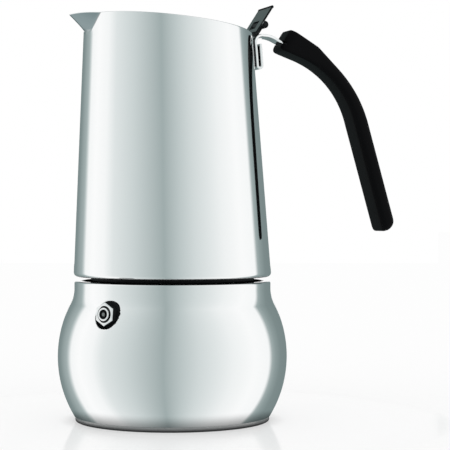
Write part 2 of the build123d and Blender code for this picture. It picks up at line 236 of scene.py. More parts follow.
# a turned piece, on the pot's axis or on a frame of its own
def turned(name, profile, count, place=None, sharp=32, **marks):
    grid = turnedGrid(np.asarray(profile, float), evenTurns(count))
    if place:
        grid = carry(grid, place)
    return putMesh(name, grid, gridFaces(count, len(profile), True, False), sharp, **marks)


# material tools

def node(tree, kind, spot, **values):
    made = tree.nodes.new(kind)
    made.location = spot
    for key, value in values.items():
        setattr(made, key, value)
    return made


def setInputs(made, values):
    for label, value in values.items():
        made.inputs[label].default_value = value


# a material with nothing but its output
def bareMaterial(name):
    made = bpy.data.materials.new(name)
    made.use_nodes = True
    made.node_tree.nodes.clear()
    return made, made.node_tree, node(made.node_tree, "ShaderNodeOutputMaterial", (800, 0))


def newMaterial(name):
    made, tree, out = bareMaterial(name)
    skin = node(tree, "ShaderNodeBsdfPrincipled", (400, 0))
    tree.links.new(skin.outputs["BSDF"], out.inputs["Surface"])
    return made, tree, skin


# fine uneven wear: a slow cloud and a fast speckle, each of a given strength either way about a middle value
def wearGroup():
    group = bpy.data.node_groups.new("fineWear", "ShaderNodeTree")
    for label in ("Cloud Scale", "Speckle Scale", "Middle", "Cloud", "Speckle"):
        group.interface.new_socket(label, in_out="INPUT", socket_type="NodeSocketFloat")
    for label in ("Value", "Height"):
        group.interface.new_socket(label, in_out="OUTPUT", socket_type="NodeSocketFloat")
    link = group.links.new
    came = node(group, "NodeGroupInput", (-900, 0))
    gone = node(group, "NodeGroupOutput", (500, 0))
    spot = node(group, "ShaderNodeTexCoord", (-900, -300))
    total = came.outputs["Middle"]
    for label, detail, y in (("Cloud", 3, 200), ("Speckle", 2, -200)):
        noise = node(group, "ShaderNodeTexNoise", (-600, y))
        noise.inputs["Detail"].default_value = detail
        link(spot.outputs["Object"], noise.inputs["Vector"])
        link(came.outputs[label + " Scale"], noise.inputs["Scale"])
        swing = node(group, "ShaderNodeMapRange", (-350, y))
        swing.inputs["To Min"].default_value = -1
        link(noise.outputs["Fac"], swing.inputs["Value"])
        part = node(group, "ShaderNodeMath", (-100, y), operation="MULTIPLY_ADD")
        link(swing.outputs["Result"], part.inputs[0])
        link(came.outputs[label], part.inputs[1])
        link(total, part.inputs[2])
        total = part.outputs[0]
    link(total, gone.inputs["Value"])
    link(noise.outputs["Fac"], gone.inputs["Height"])  # the speckle's
    return group


wear = wearGroup()
bumpDistance = 0.02
plainSpecular = 0.5


# a skin of one colour, with its shine varied by the wear group
def plainSkin(name, look):
    made, tree, skin = newMaterial(name)
    marks = node(tree, "ShaderNodeGroup", (100, -100), node_tree=wear)
    setInputs(marks, {"Cloud Scale": look["cloudScale"], "Speckle Scale": look["speckleScale"],
                      "Middle": look["shine"], "Cloud": look["cloud"], "Speckle": look["speckle"]})
    tree.links.new(marks.outputs["Value"], skin.inputs["Roughness"])
    setInputs(skin, {"Base Color": (*look["colour"], 1), "Metallic": look["metallic"],
                     "Specular IOR Level": look.get("specular", plainSpecular)})
    if look["bump"]:
        bump = node(tree, "ShaderNodeBump", (200, -350))
        setInputs(bump, {"Strength": look["bump"], "Distance": bumpDistance * mm})
        tree.links.new(marks.outputs["Height"], bump.inputs["Height"])
        tree.links.new(bump.outputs["Normal"], skin.inputs["Normal"])
    return made


looks = {
    "polished_steel": dict(colour=(0.9, 0.905, 0.905), metallic=1, shine=0.05, cloud=0.02, speckle=0.01,
                           cloudScale=45, speckleScale=1400, bump=0),
    "satin_steel": dict(colour=(0.8, 0.805, 0.8), metallic=1, shine=0.26, cloud=0.05, speckle=0.05,
                        cloudScale=60, speckleScale=2400, bump=0.08),
    "dark_steel": dict(colour=(0.2, 0.22, 0.215), metallic=1, shine=0.32, cloud=0.06, speckle=0.05,
                       cloudScale=80, speckleScale=2600, bump=0.1),
    "black_plastic": dict(colour=(0.0025, 0.0025, 0.003), metallic=0, shine=0.45, cloud=0.05, speckle=0.04,
                          cloudScale=50, speckleScale=3000, bump=0.12, specular=0.05),
    "seal_rubber": dict(colour=(0.62, 0.62, 0.6), metallic=0, shine=0.6, cloud=0.06, speckle=0.05,
                        cloudScale=60, speckleScale=2400, bump=0.2),
    "valve_brass": dict(colour=(0.72, 0.55, 0.28), metallic=1, shine=0.3, cloud=0.06, speckle=0.05,
                        cloudScale=90, speckleScale=2600, bump=0.1),
}
# painted shade: a near-black steel for parts that sit in shade, the collar in the seam under the jug, the hinge bar
# and the hinge bracket
paintedShadeLook = dict(colour=(0.012, 0.013, 0.015), metallic=0.4, shine=0.4, cloud=0.05, speckle=0.04,
                 cloudScale=60, speckleScale=2400, bump=0.1, specular=0.2)
# colours of the painted marks: a black for painted shade and a blue grey for a painted dark reflection
paintedTones = dict(shade=(0.012, 0.014, 0.015), dusk=(0.24, 0.3, 0.31))


# painted shade and painted reflection: marks on a mesh darken its skin, one to a dimmer metal for a painted dark
# reflection, the other to a black that isn't metal for painted shade
def addPaintedShade(made, colour):
    tree = made.node_tree
    link = tree.links.new
    skin = tree.nodes["Principled BSDF"]
    skin.inputs["Specular IOR Level"].default_value = 0
    dusk = node(tree, "ShaderNodeAttribute", (-300, 600), attribute_name="dusk")
    dim = node(tree, "ShaderNodeMix", (-100, 600), data_type="RGBA")
    setInputs(dim, {"A": (*colour, 1), "B": (*paintedTones["dusk"], 1)})
    shade = node(tree, "ShaderNodeAttribute", (-100, 300), attribute_name="shade")
    dark = node(tree, "ShaderNodeMix", (150, 300), data_type="RGBA")
    dark.inputs["B"].default_value = (*paintedTones["shade"], 1)
    bare = node(tree, "ShaderNodeMath", (150, 500), operation="SUBTRACT", use_clamp=True)
    bare.inputs[0].default_value = 1
    link(dusk.outputs["Fac"], dim.inputs["Factor"])
    link(dim.outputs["Result"], dark.inputs["A"])
    link(shade.outputs["Fac"], dark.inputs["Factor"])
    link(shade.outputs["Fac"], bare.inputs[1])
    link(dark.outputs["Result"], skin.inputs["Base Color"])
    link(bare.outputs[0], skin.inputs["Metallic"])


skins = {name: plainSkin(name, look) for name, look in looks.items()}
# the two steels that carry the painted shade and painted reflection marks
for name in ("polished_steel", "dark_steel"):
    addPaintedShade(skins[name], looks[name]["colour"])
paintedShadeSteel = plainSkin("paintedShadeSteel", paintedShadeLook)
print("materials ready:", len(skins))


# gives a new piece its material and its body, and hides the CAD node that it stands for
def finishPiece(piece, cadNode, body, look, skin=None):
    piece.data.materials.clear()
    piece.data.materials.append(skin or skins[look])
    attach(piece, body)
    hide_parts(cadNode)


# boiler

boiler = dict(belly=52.885, bellyHeight=29.686, flare=15.0, upper=45.3, top=64.4, wall=0.9, edgeRound=0.9,
              seatFrom=10.0, neck=35.6, neckWall=1.2, neckRound=0.35, neckGap=0.6, neckEnd=0.5, rimLow=1.0,
              threadPitch=3.0, threadDepth=0.5, darkFrom=36.1, darkTo=42.5, darkFade=1.5, darkLow=0.12,
              darkFull=0.02, sharp=40)
boilerRows = dict(belly=60, seat=64, flare=27, inside=0.3, floor=12, edge=15, flat=14, neck=44, rim=5, bore=6,
                  turns=220, valveReach=13, valveTurns=90)
base = dict(hollow=0.5, hollowEdge=9.0, footEdge=7.0, rounds=(1, 0.7, 0.25), roundRows=6, turns=200, sharp=50,
            dark=0.96, fade=0.4, fadeFrom=0.4)
valve = dict(turn=215.0, tilt=4.0, height=47.8, seat=46.205, flatRadius=6.1, blendRadius=6.6, turns=144)
washer = dict(radius=6.05, bore=3.55, thick=0.8, rounds=(0.1, 0.1, 0.25, 0.1))
hexagon = dict(across=9.0, thick=3.6, edge=0.3, edgeRows=6, sideDark=1.5, sideBare=1.4, shank=3.5,
               shankReach=6.6, chamber=2.3, chamberFloor=2.0, port=1.1, pocket=0.7, groove=3.6, grooveSoft=0.12,
               grooveDark=0.16)
cap = dict(flange=3.48, flangeThick=0.2, flangeTop=0.25, outer=2.9, top=0.7, round=0.25, roundRows=5,
           sideDark=0.25, sideBare=0.3, hole=1.2, holeDeep=0.3, mouth=2.15, mouthWide=0.1, mouthSoft=0.08,
           mouthDark=0.12, mouthTaper=0.3, mouthDeep=0.2)
nearly = 1e-6


# the valve's own frame: z outwards, x level along the boiler's wall
def valvePlace():
    turn, tilt = math.radians(valve["turn"]), math.radians(valve["tilt"])
    out = (math.cos(turn) * math.cos(tilt), math.sin(turn) * math.cos(tilt), math.sin(tilt))
    return seat((0, 0, valve["height"]), out, (-math.sin(turn), math.cos(turn), 0))


# one wall of the boiler from its floor up: belly circle about the axis, then the hollow flare circle
def boilerWall(inset, floor, share):
    b = boiler
    belly = b["belly"] - inset
    flareX = b["upper"] + b["flare"]
    rise = math.sqrt((b["belly"] + b["flare"]) ** 2 - flareX ** 2)
    lean = math.degrees(math.atan2(rise, flareX))
    low = math.degrees(math.asin((floor - b["bellyHeight"]) / belly))
    rows = [int(boilerRows[key] * share) for key in ("belly", "seat", "flare")]
    up = arc(0, b["bellyHeight"], belly, low, b["seatFrom"], rows[0])
    on = arc(0, b["bellyHeight"], belly, b["seatFrom"], lean, rows[1])[1:]
    out = arc(flareX, b["bellyHeight"] + rise, b["flare"] + inset, 180 + lean, 180, rows[2])[1:]
    return np.vstack((up, on, out))


# the wall near the valve is pressed to the seat plane: the way out along the valve falls to the seat, fading outwards
def pressSeat(grid, depth):
    origin, axes = valvePlace()
    out = axes[:, 2]
    way = (grid - origin) @ out
    off = np.linalg.norm(grid - origin - way[..., None] * out, axis=-1)
    near = (1 - ease(valve["flatRadius"], valve["blendRadius"], off)) * (way > 0)
    return grid - (near * (way - (valve["seat"] - depth)))[..., None] * out


# screw thread: the radius changes by a cosine wave of the height and the turn, fading at both ends
def cutThread(grid, turns, low, high, sign):
    pitch, depth = boiler["threadPitch"], boiler["threadDepth"]
    z = grid[..., 2]
    wave = 0.5 - 0.5 * np.cos(fullTurn * (z / pitch - turns[:, None] / fullTurn))
    fade = ease(low, low + pitch / 2, z) * (1 - ease(high - pitch / 2, high, z))
    radius = np.linalg.norm(grid[..., :2], axis=-1, keepdims=True)
    grid[..., :2] *= 1 + sign * (depth * wave * fade)[..., None] / radius
    return grid


# the boiler: its outside with a flat top and a threaded neck, then the inside down to the floor
def makeBoiler():
    b, n = boiler, boilerRows
    shellLow, shellHigh = span("boiler_shell")
    floor, neckTop = shellLow[2], shellHigh[2]
    neck, neckBore = b["neck"], b["neck"] - b["neckWall"]
    neckLow, neckHigh = b["top"] + b["neckGap"], neckTop - b["neckRound"]
    neckSide, rimLow = neckHigh - b["neckEnd"], neckHigh - b["rimLow"]
    edgeX, underTop = b["upper"] - b["edgeRound"], b["top"] - b["wall"]
    outer = boilerWall(0, floor, 1)
    inner = boilerWall(b["wall"], floor + b["wall"], n["inside"])[::-1]
    rim = softCorners([(neck, rimLow), (neck, neckTop), (neckBore, neckTop), (neckBore, rimLow)],
                      b["neckRound"], n["rim"], closed=False)[1:-1]
    profile = np.vstack((
        run((0, floor), outer[0], n["floor"])[:-1],
        outer,
        arc(edgeX, b["top"] - b["edgeRound"], b["edgeRound"], 0, 90, n["edge"]),
        run((edgeX, b["top"]), (neck, b["top"]), n["flat"])[1:],
        run((neck, neckLow), (neck, neckSide), n["neck"]),
        rim,
        run((neckBore, neckSide), (neckBore, underTop), n["bore"]),
        (b["upper"] - b["wall"], underTop),
        inner,
        run(inner[-1], (0, floor + b["wall"]), n["floor"])[1:],
    ))
    radius, height = profile.T
    turns = turnsNear(n["turns"], valve["turn"], n["valveReach"], n["valveTurns"])
    grid = turnedGrid(profile, turns)
    floorRows = n["floor"] - 1
    outerRows = slice(floorRows, floorRows + len(outer))
    innerRows = slice(len(profile) - floorRows - len(inner), len(profile) - floorRows)
    grid[:, outerRows] = pressSeat(grid[:, outerRows], 0)
    grid[:, innerRows] = pressSeat(grid[:, innerRows], b["wall"])
    neckRows = np.flatnonzero((np.abs(radius - neck) < nearly) & (height > b["top"]))
    grid[:, neckRows] = cutThread(grid[:, neckRows], turns, neckLow, neckHigh, -1)
    # painted shade: the flat top is painted dark under the jug, where shade falls in the seam, and bare again towards
    # its edge
    dark = ease(b["top"] - b["darkLow"], b["top"] - b["darkFull"], height) * (radius > b["darkFrom"])
    dark = dark * (1 - ease(b["darkTo"] - b["darkFade"], b["darkTo"], radius))
    faces = gridFaces(len(turns), len(profile), True, False)
    piece = putMesh("boilerPot", grid, faces, b["sharp"], shade=dark)
    finishPiece(piece, "boiler_shell", "boiler", "polished_steel")


def makeBase():
    d = base
    high = span("base_disc")[1]
    radius, top = high[0], high[2]
    corners = [(radius - d["hollowEdge"], d["hollow"]), (radius - d["footEdge"], 0), (radius, 0), (radius, top),
               (0, top)]
    line = softCorners(corners, d["rounds"], d["roundRows"], closed=False)
    profile = np.vstack(((0, d["hollow"]), line))
    # painted shade: the side is painted darker towards the ground, like the shaded floor it reflects
    shade = d["dark"] - d["fade"] * ease(d["fadeFrom"], top, profile[:, 1])  # darker towards the ground
    piece = turned("standDisc", profile, d["turns"], sharp=d["sharp"], shade=shade)
    finishPiece(piece, "base_disc", "boiler", "polished_steel")


# rows of a profile on the valve's axis: radius, height, 1 to follow the hexagon, 1 for a mark of painted shade
def markRows(points, follow, dark):
    radius, height = np.transpose(points)
    return table(radius, height, follow, dark)


# a turned piece on the valve's axis from such rows
# on the hexagon the radius grows by the half width over the cosine of the turn from the nearest flat
def makeMarked(name, parts, cadNode):
    radii, heights, follow, dark = np.vstack(parts).T
    turns = evenTurns(valve["turns"])
    half = hexagon["across"] / 2
    more = half / np.cos((turns + np.pi / 6) % (np.pi / 3) - np.pi / 6) - half
    radius = radii + follow * more[:, None]
    x, y = np.cos(turns)[:, None] * radius, np.sin(turns)[:, None] * radius
    grid = carry(np.stack((x, y, np.broadcast_to(heights, x.shape)), -1), valvePlace())
    piece = putMesh(name, grid, gridFaces(*grid.shape[:2], True, True), shade=dark)
    finishPiece(piece, cadNode, "boiler", "polished_steel")


def makeValve():
    v, w, h, c = valve, washer, hexagon, cap
    low = v["seat"] + w["thick"]
    face = low + h["thick"]
    pocket = face - h["pocket"]
    top = face + c["top"]
    shankEnd = v["seat"] - h["shankReach"]
    chamberEnd = shankEnd + h["chamberFloor"]
    half, e = h["across"] / 2, h["edge"]
    ring = softCorners([(w["bore"], v["seat"]), (w["radius"], v["seat"]), (w["radius"], low), (w["bore"], low)],
                       w["rounds"])
    # painted shade: the washer, the hexagon's sides, shank and groove, and the eye's side and hole are painted dark,
    # as shade and dark reflections about the valve; the hexagon's top face and the eye's rounded top stay bright
    makeMarked("valveRing", [markRows(ring, 0, 1)], "valve_washer")
    makeMarked("valveHexagon", [
        markRows([(h["port"], shankEnd), (h["shank"], shankEnd), (h["shank"], low)], 0, 1),
        markRows([(half - e, low), (half, low + e), (half, face - h["sideDark"] * e)], 1, 1),
        markRows([(half, face - h["sideBare"] * e), *arc(half - e, face - e, e, 0, 90, h["edgeRows"])], 1, 0),
        markRows([(h["groove"] + h["grooveSoft"], face), (h["groove"], face - h["grooveSoft"])], 0, 0),
        markRows([(h["groove"], face - h["grooveDark"]), (h["groove"], pocket), (h["chamber"], pocket),
                  (h["chamber"], chamberEnd), (h["port"], chamberEnd)], 0, 1),
    ], "valve_body")
    bend = arc(c["outer"] - c["round"], top - c["round"], c["round"], 0, 90, c["roundRows"])
    makeMarked("valveEye", [
        markRows([(c["hole"], pocket), (c["flange"], pocket), (c["flange"], pocket + c["flangeThick"]),
                  (c["outer"], pocket + c["flangeTop"]), (c["outer"], face + c["sideDark"])], 0, 1),
        markRows([(c["outer"], face + c["sideBare"]), *bend, (c["mouth"] + c["mouthWide"], top),
                  (c["mouth"], top - c["mouthSoft"])], 0, 0),
        markRows([(c["mouth"], top - c["mouthDark"]), (c["mouth"] - c["mouthTaper"], face - c["mouthDeep"]),
                  (c["hole"], face - c["holeDeep"])], 0, 1),
    ], "valve_cap")


makeBoiler()
makeBase()
makeValve()
print("boiler made")


# jug

jug = dict(bottom=66.6, radius=45.7, height=114.4, rimRadius=38.9, lean=2.5, foot=2.0, lip=3.6, wall=0.9,
           rimSlope=0.095, rimSoft=0.3, rimLift=0.8, skirt=0.2, lipDark=0.25, lipBare=0.5, sharp=40)
jugRows = dict(side=70, low=16, lowShare=0.8, rim=9, foot=8, turns=220, spoutReach=36, spoutTurns=150, passes=3)
spout = dict(reach=8.8, depth=9.2, above=1.3, curve=1.15, lipAngle=21.5, footAngle=8.5, dip=1.2, sink=0.3,
             round=1.8, fall=0.35, crease=0.3, creaseBy=0.3)
# painted reflection and painted shade on the spout: where its outside is painted darker, and the painted dark line
# along its folds
spoutPaintedMarks = dict(inside=-0.4, edge=0.1, low=0.03, high=0.25, fold=0.6, foldWide=0.35, foldLow=0.2, foldHigh=0.5,
                 skin=0.01)
collar = dict(inner=36.0, gap=0.06, rounds=(0.25, 0.3, 0.2), roundRows=4, lowCorner=1.0, threadEnd=0.3,
              threadRows=70, turns=200, sharp=40)
rimMid = jug["bottom"] + jug["height"]
wallSlope = (jug["radius"] - jug["rimRadius"] + jug["lean"]) / jug["height"]  # of the wall towards the handle


# where the jug's leaning axis is at a height
def jugMiddle(z):
    return -jug["lean"] / jug["height"] * (z - jug["bottom"])


def jugRadius(z):
    return jug["radius"] - (jug["radius"] - jug["rimRadius"]) / jug["height"] * (z - jug["bottom"])


def rimHeight(x):
    return rimMid - jug["rimSlope"] * x


# how far up the spout a height lies, how wide the spout spreads there, and each turn's distance from the spout
def spoutSpread(turns, z):
    s = spout
    top = rimHeight(jugMiddle(rimMid) - jug["rimRadius"]) + jug["rimLift"]
    share = np.clip(1 - (top - z) / s["depth"], 0, s["above"])
    spread = np.radians(s["footAngle"] + (s["lipAngle"] - s["footAngle"]) * share)
    return share, spread, np.abs((turns + fullTurn) % fullTurn - np.pi)


# how far the jug reaches at a turn and height: the cone's radius, or the rounded V of the spout where that is further
def jugReach(turns, z):
    s = spout
    r = jugRadius(z)
    share, spread, off = spoutSpread(turns, z)
    sunk = r - s["sink"]
    back, width = sunk * np.cos(spread), sunk * np.sin(spread)
    tip = sunk + (s["reach"] + s["sink"]) * share ** s["curve"]
    flank = np.arctan2(width, tip - back)
    tip = tip + s["round"] * (1 / np.sin(flank) - 1)
    side = np.clip(np.abs(np.sin(off)), 0, 1)
    line = tip * width / (width * np.cos(off) + (tip - back) * side)
    middle = tip - s["round"] / np.sin(flank)
    touch = np.arctan2(s["round"] * np.cos(flank), middle + s["round"] * np.sin(flank))
    nose = middle * np.cos(off) + np.sqrt(np.clip(s["round"] ** 2 - (middle * side) ** 2, 0, None))
    vee = np.where(off < touch, nose, line)
    vee = np.where(off < spread, vee, sunk - s["fall"] * r * (off - spread))  # past its spread it stays inside
    # the further of the two with a soft crease: half of their sum plus the root of their squared difference
    return 0.5 * (r + vee + np.sqrt((r - vee) ** 2 + s["crease"] ** 2 * ease(0, s["creaseBy"], share)))


def makeJug():
    j, n, paintedSpout = jug, jugRows, spoutPaintedMarks
    half = np.linspace(0, np.pi, n["rim"])
    quarter = np.linspace(0, np.pi / 2, n["foot"])
    lowShares = np.linspace(0, n["lowShare"], n["low"])
    share = np.concatenate((lowShares, np.linspace(n["lowShare"], 1, n["side"] - n["low"])[1:]))
    # each row: how far in from the outside, height over the bottom, share of the rim's height, drop from the rim
    rows = np.vstack((
        table(0, j["foot"], share, -j["rimSoft"]),
        table(j["wall"] / 2 * (1 - np.cos(half)), 0, 1, j["rimSoft"] * (np.sin(half) - 1))[1:-1],
        table(j["wall"], j["wall"], share[::-1], -j["rimSoft"]),
        [(j["lip"], j["wall"], 0, 0), (j["lip"], 0, 0, 0)],
        table(j["foot"] * (1 - np.sin(quarter)), j["foot"] * (1 - np.cos(quarter)), 0, 0)[:-1],
    ))
    inset, low, up, drop = rows.T[:, None]
    turns = turnsNear(n["turns"], 180, n["spoutReach"], n["spoutTurns"])[:, None]
    x = np.zeros((len(turns), len(rows)))
    for again in range(n["passes"]):  # the rim slants, so its height and its reach are found together
        out = np.clip((jugMiddle(rimMid) - j["rimRadius"] - x) / spout["reach"], 0, 1)
        rim = rimHeight(x) + j["rimLift"] - spout["dip"] * out ** 2  # the spout's tip dips
        z = (1 - up) * (j["bottom"] - j["skirt"] + low) + up * (rim + drop)
        reach = jugReach(turns, z) - inset
        x = jugMiddle(z) + reach * np.cos(turns)
    grid = np.stack((x, reach * np.sin(turns), z), -1)
    # painted shade: the lip and the lower part of the foot's bend are painted dark, as shade in the seam over the
    # boiler
    under = len(quarter) + 1
    dark = np.zeros(len(rows))
    dark[-under:] = 1 - ease(j["lipDark"], j["lipBare"], rows[-under:, 1])
    # painted reflection and painted shade: the outside of the spout is painted a tone darker for the dark reflection
    # it shows, and darkest along the folds where it leaves the cone
    deep, spread, off = spoutSpread(turns, z)
    past = (off - spread) * jugRadius(z)
    outside = inset < paintedSpout["skin"]
    dusk = (1 - ease(paintedSpout["inside"], paintedSpout["edge"], past)) * ease(paintedSpout["low"], paintedSpout["high"], deep) * outside
    fold = paintedSpout["fold"] * np.exp(-(past / paintedSpout["foldWide"]) ** 2)
    fold = fold * ease(paintedSpout["foldLow"], paintedSpout["foldHigh"], deep) * outside
    piece = putMesh("pouringJug", grid, gridFaces(*grid.shape[:2], True, True), j["sharp"],
                    shade=np.maximum(dark, fold), dusk=dusk)
    finishPiece(piece, "jug_shell", "jug", "polished_steel")


# the collar reaches down to the boiler's top, and its thread is on the inside
def makeCollar():
    c = collar
    high = span("threaded_collar")[1]
    inner, outer, bottom, top = c["inner"], high[0], boiler["top"] + c["gap"], high[2]
    corners = [(inner, bottom + c["lowCorner"]), (inner, bottom), (outer, bottom), (outer, top), (inner, top)]
    profile = np.vstack((
        softCorners(corners, c["rounds"], c["roundRows"], closed=False)[1:-1],
        run((inner, top), (inner, bottom + c["threadEnd"]), c["threadRows"]),
    ))
    turns = evenTurns(c["turns"])
    grid = turnedGrid(profile, turns)
    threadRows = slice(-c["threadRows"], None)
    grid[:, threadRows] = cutThread(grid[:, threadRows], turns, bottom, top, 1)
    piece = putMesh("screwCollar", grid, gridFaces(len(turns), len(profile), True, True), c["sharp"])
    # painted shade: the collar is near-black, as shade in the seam over the boiler
    finishPiece(piece, "threaded_collar", "jug", "dark_steel", paintedShadeSteel)


makeJug()
makeCollar()
print("jug made")


# handle

grip = dict(topX=57.1, topZ=182.7, block=16.1, blockAngle=-29.7, shoulder=30.1, shoulderAngle=-43.0, low=68.3,
            lowAngle=-73.6, thick=7.3, jawHeight=11.3, jawAngle=238.0, jawLowAngle=-20.0, kinkRound=6.0,
            shoulderRound=58.0, elbowRound=44.0, edge=3.0, topEdge=1.3, edgeBy=0.35, topOuter=0.7, topInner=2.6,
            endOuter=4.6, endInner=2.5, topSide=4.4, endSide=3.4, outerRows=40, innerRows=60, stations=140,
            sharp=50)
mouth = dict(x=53.5, z=176.34, angle=-26.0, depth=1.2, height=2.6, front=1.0, reach=4.0, slot=1.3)


# a place of the side view, a length away in a direction
def onward(spot, length, angle):
    a = math.radians(angle)
    return (spot[0] + length * math.cos(a), spot[1] + length * math.sin(a))


# where two lines of the side view meet, each a point and an angle
def meeting(first, firstAngle, second, secondAngle):
    rise, fall = math.tan(math.radians(firstAngle)), math.tan(math.radians(secondAngle))
    x = (second[1] - first[1] + rise * first[0] - fall * second[0]) / (rise - fall)
    return (x, first[1] + rise * (x - first[0]))


# a rectangle of the local thickness and width with quarter circles for corners, one row for each place on the line
def roundSection(halfThick, halfWide, edge):
    quarter = np.linspace(0, np.pi / 2, cornerRows)
    flatThick, flatWide, edge = (halfThick - edge)[:, None], (halfWide - edge)[:, None], edge[:, None]
    across, wide = [], []
    for sx, sy in ((1, 1), (-1, 1), (-1, -1), (1, -1)):
        a = quarter if sx == sy else quarter[::-1]
        across.append(sx * (flatThick + edge * np.cos(a)))
        wide.append(sy * (flatWide + edge * np.sin(a)))
    return np.concatenate(across, 1), np.concatenate(wide, 1)


# sections carried along a line of the side view: middle plus across times thickness, and the width along y
def sweepGrid(middle, across, halfThick, halfWide, edge):
    edge = np.minimum(np.minimum(edge, halfThick * edgeLimit), halfWide * edgeLimit)
    thickWay, wideWay = roundSection(halfThick, halfWide, edge)
    x = middle[:, :1] + across[:, :1] * thickWay
    z = middle[:, 1:] + across[:, 1:] * thickWay
    grid = np.stack((x, wideWay, z), -1)
    poles = np.repeat(grid[[0, -1]].mean(1, keepdims=True), grid.shape[1], 1)
    grid = np.concatenate((poles[:1], grid, poles[1:]))
    return grid, gridFaces(*grid.shape[:2], False, True)


# the grip: sections from the outer outline to the inner one, drawn in at both ends, with a notch for the strap
def makeHandle():
    g, m = grip, mouth
    width = span("handle")[1][1]
    top = (g["topX"], g["topZ"])
    kink = onward(top, g["block"], g["blockAngle"])
    bend = onward(kink, g["shoulder"], g["shoulderAngle"])
    end = onward(bend, g["low"], g["lowAngle"])
    heel = onward(end, g["thick"], g["lowAngle"] - 90)
    jaw = onward(top, g["jawHeight"], g["jawAngle"])
    elbow = meeting(jaw, g["jawLowAngle"], heel, g["lowAngle"])
    shares = endShares(g["block"] + g["shoulder"] + g["low"], g["topInner"], g["endOuter"], g["stations"])
    outer = softCorners([top, kink, bend, end], [g["kinkRound"], g["shoulderRound"]], g["outerRows"], closed=False)
    inner = softCorners([jaw, elbow, heel], g["elbowRound"], g["innerRows"], closed=False)
    outer, inner = atShares(outer, shares), atShares(inner, shares)
    across = outer - inner
    across = across / np.linalg.norm(across, axis=1, keepdims=True)
    outer = outer - across * endPull((outer + inner) / 2, g["topOuter"], g["endOuter"])[:, None]
    inner = inner + across * endPull((outer + inner) / 2, g["topInner"], g["endInner"])[:, None]
    middle = (outer + inner) / 2
    halfThick = np.maximum(((outer - inner) * across).sum(1) / 2, thinnest)
    halfWide = width - endPull(middle, g["topSide"], g["endSide"])
    edge = g["topEdge"] + (g["edge"] - g["topEdge"]) * ease(0, g["edgeBy"], shares)
    piece = putMesh("curvedGrip", *sweepGrid(middle, across, halfThick, halfWide, edge), g["sharp"])
    # the notch opens outwards on its upper side
    entry, up = (m["x"], m["z"]), m["angle"] + 90
    far, deep = onward(entry, -m["reach"], m["angle"]), onward(entry, m["depth"], m["angle"])
    wide = m["slot"] + (m["height"] - m["slot"]) * (m["reach"] + m["depth"]) / (m["front"] + m["depth"])
    notch = [onward(far, wide / 2, up), onward(deep, m["slot"] / 2, up), onward(deep, -m["slot"] / 2, up),
             onward(far, -m["slot"] / 2, up)]
    carve(piece, notch, 3 * width, g["sharp"])
    finishPiece(piece, "handle", "jug", "black_plastic")


makeHandle()
print("handle made")


# strap, hinge and lid

strap = dict(strip=1.2, padThick=0.6, foldGap=1.1, high=174.602, leg=11.8, archTop=179.202, archRound=4.2,
             crestRound=12.0, fold=1.13, roundRows=30, tongue=14.0, tongueHalf=3.6, narrowFrom=22.0, narrowTo=1.0,
             half=8.5, edge=0.3, stations=200, sharp=45)
tab = dict(hingeX=42.6, hingeZ=184.002, angle=57.0, up=9.1, down=5.6, offset=1.5, thick=1.0, bend=2.0,
           bendRows=20, bead=0.7, half=8.5, inset=3.9, foot=9.0, knuckle=1.75, bore=0.85,
           knuckleRounds=(0.1, 0.3, 0.3, 0.1), slotHalf=3.8, slotLow=-3.2, slotHigh=1.4, slotUnder=-0.05,
           slotOver=3.2, edge=0.3, sideDark=0.1, sideBare=0.25, beadDark=1.8, beadBare=2.2, stations=120, sharp=45)
pin = dict(round=0.3, roundRows=6, turns=64, sharp=45)
lug = dict(offset=0.9, reach=10.5, window=1.6)
lid = dict(radius=37.2, panel=23.0, drop=0.3, skirt=3.0, rise=1.2, wall=0.9, panelRound=0.8, skirtRound=0.3,
           rimRound=0.9, turns=200, sharp=45)


# a place of the side view on the jug's wall towards the handle, a distance off it
def wallSpot(z, off):
    lean = math.atan(wallSlope)
    return (jugMiddle(z) + jugRadius(z) + off * math.cos(lean), z + off * math.sin(lean))


# a place of the side view by its way along the tab from the hinge and its way off that line
def tabPoint(along, off):
    return onward(onward((tab["hingeX"], tab["hingeZ"]), along, tab["angle"]), off, tab["angle"] + 90)


# the strap: a strip down the outer leg, round the fold, up the wall, over the arch and into the handle
def makeStrap():
    s = strap
    near = s["padThick"] + s["strip"] / 2
    off = near + s["strip"] + s["foldGap"]
    low = s["high"] - s["leg"] + s["strip"] / 2
    lowNear = wallSpot(low, near)
    legX = lowNear[0] - wallSlope * (s["archTop"] - lowNear[1])
    entry = (mouth["x"], mouth["z"])
    crestX = entry[0] + (s["archTop"] - entry[1]) / math.tan(math.radians(mouth["angle"]))
    tip = onward(entry, s["tongue"], mouth["angle"])
    corners = [wallSpot(s["high"], off), wallSpot(low, off), lowNear, (legX, s["archTop"]),
               (crestX, s["archTop"]), tip]
    rounds = [s["fold"], s["fold"], s["archRound"], s["crestRound"]]
    line = softCorners(corners, rounds, s["roundRows"], closed=False)
    line = atShares(line, endShares(distances(line)[-1], s["edge"], s["edge"], s["stations"]))
    far = distances(line)
    pull = endPull(line, s["edge"], s["edge"])
    mouthAt = far[-1] - s["tongue"]
    narrow = ease(mouthAt - s["narrowFrom"], mouthAt - s["narrowTo"], far)  # narrower towards the grip
    wide = s["half"] - (s["half"] - s["tongueHalf"]) * narrow
    grid, faces = sweepGrid(line, squareTo(line), s["strip"] / 2 - pull, wide - pull, s["edge"])
    piece = putMesh("bentStrap", grid, faces, s["sharp"])
    # a window for the lug of the hinge
    h, reach = lug["window"] / 2, -lug["reach"]
    over, under = h - lug["offset"], -h - lug["offset"]
    window = [tabPoint(*spot) for spot in ((0, over), (0, under), (reach, under), (reach, over))]
    carve(piece, window, 2 * tab["slotHalf"], s["sharp"])
    finishPiece(piece, "handle_strap", "jug", "polished_steel")


